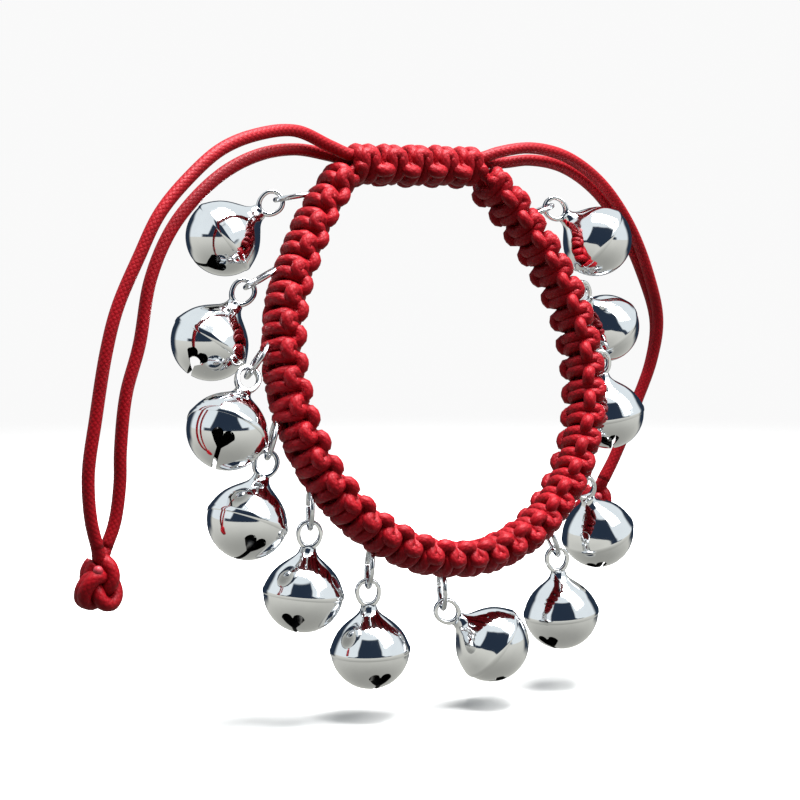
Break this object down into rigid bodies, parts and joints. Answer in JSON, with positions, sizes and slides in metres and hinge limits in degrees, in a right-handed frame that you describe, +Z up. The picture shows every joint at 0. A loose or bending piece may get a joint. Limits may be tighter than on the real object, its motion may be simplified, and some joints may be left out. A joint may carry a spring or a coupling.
{
  "type": "bell bracelet",
  "caption": "Knotted cord bracelet with a sliding-knot closure and cord tails, carrying round slotted jingle bells on jump rings around its outer edge.",
  "frame": {"origin": "middle of the wrist loop, on the wrist's axis and midway across the band", "axes": "+Y level along the wrist, away from the viewer; +Z up; +X to the viewer's right. The band leans back 14 degrees on the wrist, as pictured"},
  "size_m": [0.1224, 0.0379, 0.0884],
  "materials": {
    "red_cord": "satin braided nylon",
    "bell_metal": "bright polished plate",
    "ring_metal": "bright wire",
    "steel_pea": "dull steel ball"
  },
  "bodies": {
    "bracelet": {"knotted_band": "red_cord", "core_cord_front": "red_cord", "core_cord_rear": "red_cord", "sliding_knot": "red_cord", "left_tail_front": "red_cord", "left_tail_rear": "red_cord", "right_tail_front": "red_cord", "right_tail_rear": "red_cord", "left_end_knot": "red_cord", "right_end_knot": "red_cord"},
    "ring_10": {"jump_ring_10": "ring_metal"},
    "bell_10": {"bell_cap_10": "bell_metal", "bell_cup_10": "bell_metal"},
    "pea_10": {"bell_pea_10": "steel_pea"},
    "ring_11": {"jump_ring_11": "ring_metal"},
    "bell_11": {"bell_cap_11": "bell_metal", "bell_cup_11": "bell_metal"},
    "pea_11": {"bell_pea_11": "steel_pea"},
    "ring_12": {"jump_ring_12": "ring_metal"},
    "bell_12": {"bell_cap_12": "bell_metal", "bell_cup_12": "bell_metal"},
    "pea_12": {"bell_pea_12": "steel_pea"},
    "ring_01": {"jump_ring_01": "ring_metal"},
    "bell_01": {"bell_cap_01": "bell_metal", "bell_cup_01": "bell_metal"},
    "pea_01": {"bell_pea_01": "steel_pea"},
    "ring_02": {"jump_ring_02": "ring_metal"},
    "bell_02": {"bell_cap_02": "bell_metal", "bell_cup_02": "bell_metal"},
    "pea_02": {"bell_pea_02": "steel_pea"},
    "ring_03": {"jump_ring_03": "ring_metal"},
    "bell_03": {"bell_cap_03": "bell_metal", "bell_cup_03": "bell_metal"},
    "pea_03": {"bell_pea_03": "steel_pea"},
    "ring_04": {"jump_ring_04": "ring_metal"},
    "bell_04": {"bell_cap_04": "bell_metal", "bell_cup_04": "bell_metal"},
    "pea_04": {"bell_pea_04": "steel_pea"},
    "ring_05": {"jump_ring_05": "ring_metal"},
    "bell_05": {"bell_cap_05": "bell_metal", "bell_cup_05": "bell_metal"},
    "pea_05": {"bell_pea_05": "steel_pea"},
    "ring_06": {"jump_ring_06": "ring_metal"},
    "bell_06": {"bell_cap_06": "bell_metal", "bell_cup_06": "bell_metal"},
    "pea_06": {"bell_pea_06": "steel_pea"},
    "ring_07": {"jump_ring_07": "ring_metal"},
    "bell_07": {"bell_cap_07": "bell_metal", "bell_cup_07": "bell_metal"},
    "pea_07": {"bell_pea_07": "steel_pea"},
    "ring_08": {"jump_ring_08": "ring_metal"},
    "bell_08": {"bell_cap_08": "bell_metal", "bell_cup_08": "bell_metal"},
    "pea_08": {"bell_pea_08": "steel_pea"},
    "ring_09": {"jump_ring_09": "ring_metal"},
    "bell_09": {"bell_cap_09": "bell_metal", "bell_cup_09": "bell_metal"},
    "pea_09": {"bell_pea_09": "steel_pea"}
  },
  "joints": [
    {"name": "ring_10_swing", "type": "hinge", "parent": "bracelet", "child": "ring_10", "pos_m": [0.03264, 0.00316, 0.00186], "axis": [0.6223, -0.2902, 0.727], "range_deg": [-6, 24]},
    {"name": "ring_11_swing", "type": "hinge", "parent": "bracelet", "child": "ring_11", "pos_m": [0.03066, 0.00622, 0.01222], "axis": [0.2581, -0.1203, 0.9586], "range_deg": [-8, 30]},
    {"name": "ring_12_swing", "type": "hinge", "parent": "bracelet", "child": "ring_12", "pos_m": [0.0242, 0.00717, 0.02461], "axis": [-0.3558, 0.1659, 0.9197], "range_deg": [-16, 20]},
    {"name": "ring_01_swing", "type": "hinge", "parent": "bracelet", "child": "ring_01", "pos_m": [-0.02101, 0.01035, 0.02691], "axis": [0.1574, -0.0734, -0.9848], "range_deg": [-18, 35]},
    {"name": "ring_02_swing", "type": "hinge", "parent": "bracelet", "child": "ring_02", "pos_m": [-0.02887, 0.00673, 0.01431], "axis": [0.4634, -0.2161, -0.8594], "range_deg": [-5, 35]},
    {"name": "ring_03_swing", "type": "hinge", "parent": "bracelet", "child": "ring_03", "pos_m": [-0.03235, 0.0021, 0.00186], "axis": [0.7508, -0.3501, -0.5601], "range_deg": [-20, 6]},
    {"name": "ring_04_swing", "type": "hinge", "parent": "bracelet", "child": "ring_04", "pos_m": [-0.03096, 0.00021, -0.01006], "axis": [0.873, -0.4071, -0.2686], "range_deg": [-20, 35]},
    {"name": "ring_05_swing", "type": "hinge", "parent": "bracelet", "child": "ring_05", "pos_m": [-0.02572, -0.00219, -0.02097], "axis": [0.9062, -0.4226, -0.0159], "range_deg": [-35, 35]},
    {"name": "ring_06_swing", "type": "hinge", "parent": "bracelet", "child": "ring_06", "pos_m": [-0.01648, -0.00456, -0.03061], "axis": [0.9032, -0.4211, -0.0834], "range_deg": [-35, 35]},
    {"name": "ring_07_swing", "type": "hinge", "parent": "bracelet", "child": "ring_07", "pos_m": [-0.00363, -0.00578, -0.03522], "axis": [0.9058, -0.4224, 0.0347], "range_deg": [-35, 35]},
    {"name": "ring_08_swing", "type": "hinge", "parent": "bracelet", "child": "ring_08", "pos_m": [0.0192, -0.00428, -0.02913], "axis": [0.8459, -0.3944, 0.3591], "range_deg": [-35, 35]},
    {"name": "ring_09_swing", "type": "hinge", "parent": "bracelet", "child": "ring_09", "pos_m": [0.02788, -0.00127, -0.01801], "axis": [0.8956, -0.4176, 0.1536], "range_deg": [-34, 35]},
    {"name": "bell_10_sway", "type": "hinge", "parent": "ring_10", "child": "bell_10", "pos_m": [0.03498, 0.00308, -0.00017], "axis": [0.2463, 0.9681, 0.0451], "range_deg": [-35, 4]},
    {"name": "bell_11_sway", "type": "hinge", "parent": "ring_11", "child": "bell_11", "pos_m": [0.03359, 0.00695, 0.01152], "axis": [-0.1358, 0.9842, 0.114], "range_deg": [-35, 4]},
    {"name": "bell_12_sway", "type": "hinge", "parent": "ring_12", "child": "bell_12", "pos_m": [0.0269, 0.00624, 0.02582], "axis": [0.3137, 0.9494, -0.0171], "range_deg": [-14, 4]},
    {"name": "bell_01_sway", "type": "hinge", "parent": "ring_01", "child": "bell_01", "pos_m": [-0.0238, 0.01159, 0.02637], "axis": [0.4082, 0.9129, -0.0022], "range_deg": [-5, 30]},
    {"name": "bell_02_sway", "type": "hinge", "parent": "ring_02", "child": "bell_02", "pos_m": [-0.0315, 0.00725, 0.01276], "axis": [0.2799, 0.9579, -0.0644], "range_deg": [-2, 30]},
    {"name": "bell_03_sway", "type": "hinge", "parent": "ring_03", "child": "bell_03", "pos_m": [-0.03439, 0.00097, -0.00017], "axis": [0.0944, 0.9079, -0.4084], "range_deg": [-4, 20]},
    {"name": "bell_04_sway", "type": "hinge", "parent": "ring_04", "child": "bell_04", "pos_m": [-0.03198, -0.00006, -0.01298], "axis": [0.3372, 0.9045, -0.2611], "range_deg": [-8, 20]},
    {"name": "bell_05_sway", "type": "hinge", "parent": "ring_05", "child": "bell_05", "pos_m": [-0.02577, -0.00219, -0.02406], "axis": [0.4177, 0.9072, -0.0493], "range_deg": [-8, 16]},
    {"name": "bell_06_sway", "type": "hinge", "parent": "ring_06", "child": "bell_06", "pos_m": [-0.01675, -0.00452, -0.0337], "axis": [0.4196, 0.9077, 0.0101], "range_deg": [-30, 13]},
    {"name": "bell_07_sway", "type": "hinge", "parent": "ring_07", "child": "bell_07", "pos_m": [-0.00352, -0.00581, -0.03832], "axis": [0.3624, 0.9305, 0.0527], "range_deg": [-26, 40]},
    {"name": "bell_08_sway", "type": "hinge", "parent": "ring_08", "child": "bell_08", "pos_m": [0.02041, -0.00428, -0.03199], "axis": [0.3777, 0.9251, 0.0397], "range_deg": [-34, 40]},
    {"name": "bell_09_sway", "type": "hinge", "parent": "ring_09", "child": "bell_09", "pos_m": [0.02849, -0.00107, -0.02105], "axis": [0.3283, 0.8956, 0.3001], "range_deg": [-40, 30]},
    {"name": "pea_10_roll", "type": "hinge", "parent": "bell_10", "child": "pea_10", "pos_m": [0.03704, 0.003, -0.00985], "axis": [0.2463, 0.9681, 0.0451], "range_deg": [-76.7, 53.3]},
    {"name": "pea_11_roll", "type": "hinge", "parent": "bell_11", "child": "pea_11", "pos_m": [0.04062, 0.0087, 0.00477], "axis": [-0.1358, 0.9842, 0.114], "range_deg": [-111.6, 18.4]},
    {"name": "pea_12_roll", "type": "hinge", "parent": "bell_12", "child": "pea_12", "pos_m": [0.03447, 0.00364, 0.02], "axis": [0.3137, 0.9494, -0.0171], "range_deg": [-119, 11]},
    {"name": "pea_01_roll", "type": "hinge", "parent": "bell_01", "child": "pea_01", "pos_m": [-0.03111, 0.01485, 0.02055], "axis": [0.4082, 0.9129, -0.0022], "range_deg": [-11, 119]},
    {"name": "pea_02_roll", "type": "hinge", "parent": "bell_02", "child": "pea_02", "pos_m": [-0.03708, 0.00833, 0.00465], "axis": [0.2799, 0.9579, -0.0644], "range_deg": [-30.2, 99.8]},
    {"name": "pea_03_roll", "type": "hinge", "parent": "bell_03", "child": "pea_03", "pos_m": [-0.03973, -0.00198, -0.00797], "axis": [0.0944, 0.9079, -0.4084], "range_deg": [-34.7, 95.3]},
    {"name": "pea_04_roll", "type": "hinge", "parent": "bell_04", "child": "pea_04", "pos_m": [-0.03602, -0.00115, -0.02195], "axis": [0.3372, 0.9045, -0.2611], "range_deg": [-44.9, 85.1]},
    {"name": "pea_05_roll", "type": "hinge", "parent": "bell_05", "child": "pea_05", "pos_m": [-0.02698, -0.00216, -0.03389], "axis": [0.4177, 0.9072, -0.0493], "range_deg": [-58.6, 71.4]},
    {"name": "pea_06_roll", "type": "hinge", "parent": "bell_06", "child": "pea_06", "pos_m": [-0.01641, -0.00457, -0.04359], "axis": [0.4196, 0.9077, 0.0101], "range_deg": [-66.9, 63.1]},
    {"name": "pea_07_roll", "type": "hinge", "parent": "bell_07", "child": "pea_07", "pos_m": [0.00395, -0.00839, -0.04427], "axis": [0.3624, 0.9305, 0.0527], "range_deg": [-117.9, 12.1]},
    {"name": "pea_08_roll", "type": "hinge", "parent": "bell_08", "child": "pea_08", "pos_m": [0.02144, -0.00428, -0.04183], "axis": [0.3777, 0.9251, 0.0397], "range_deg": [-70.6, 59.4]},
    {"name": "pea_09_roll", "type": "hinge", "parent": "bell_09", "child": "pea_09", "pos_m": [0.03277, 0.00032, -0.02987], "axis": [0.3283, 0.8956, 0.3001], "range_deg": [-85.9, 44.1]}
  ]
}
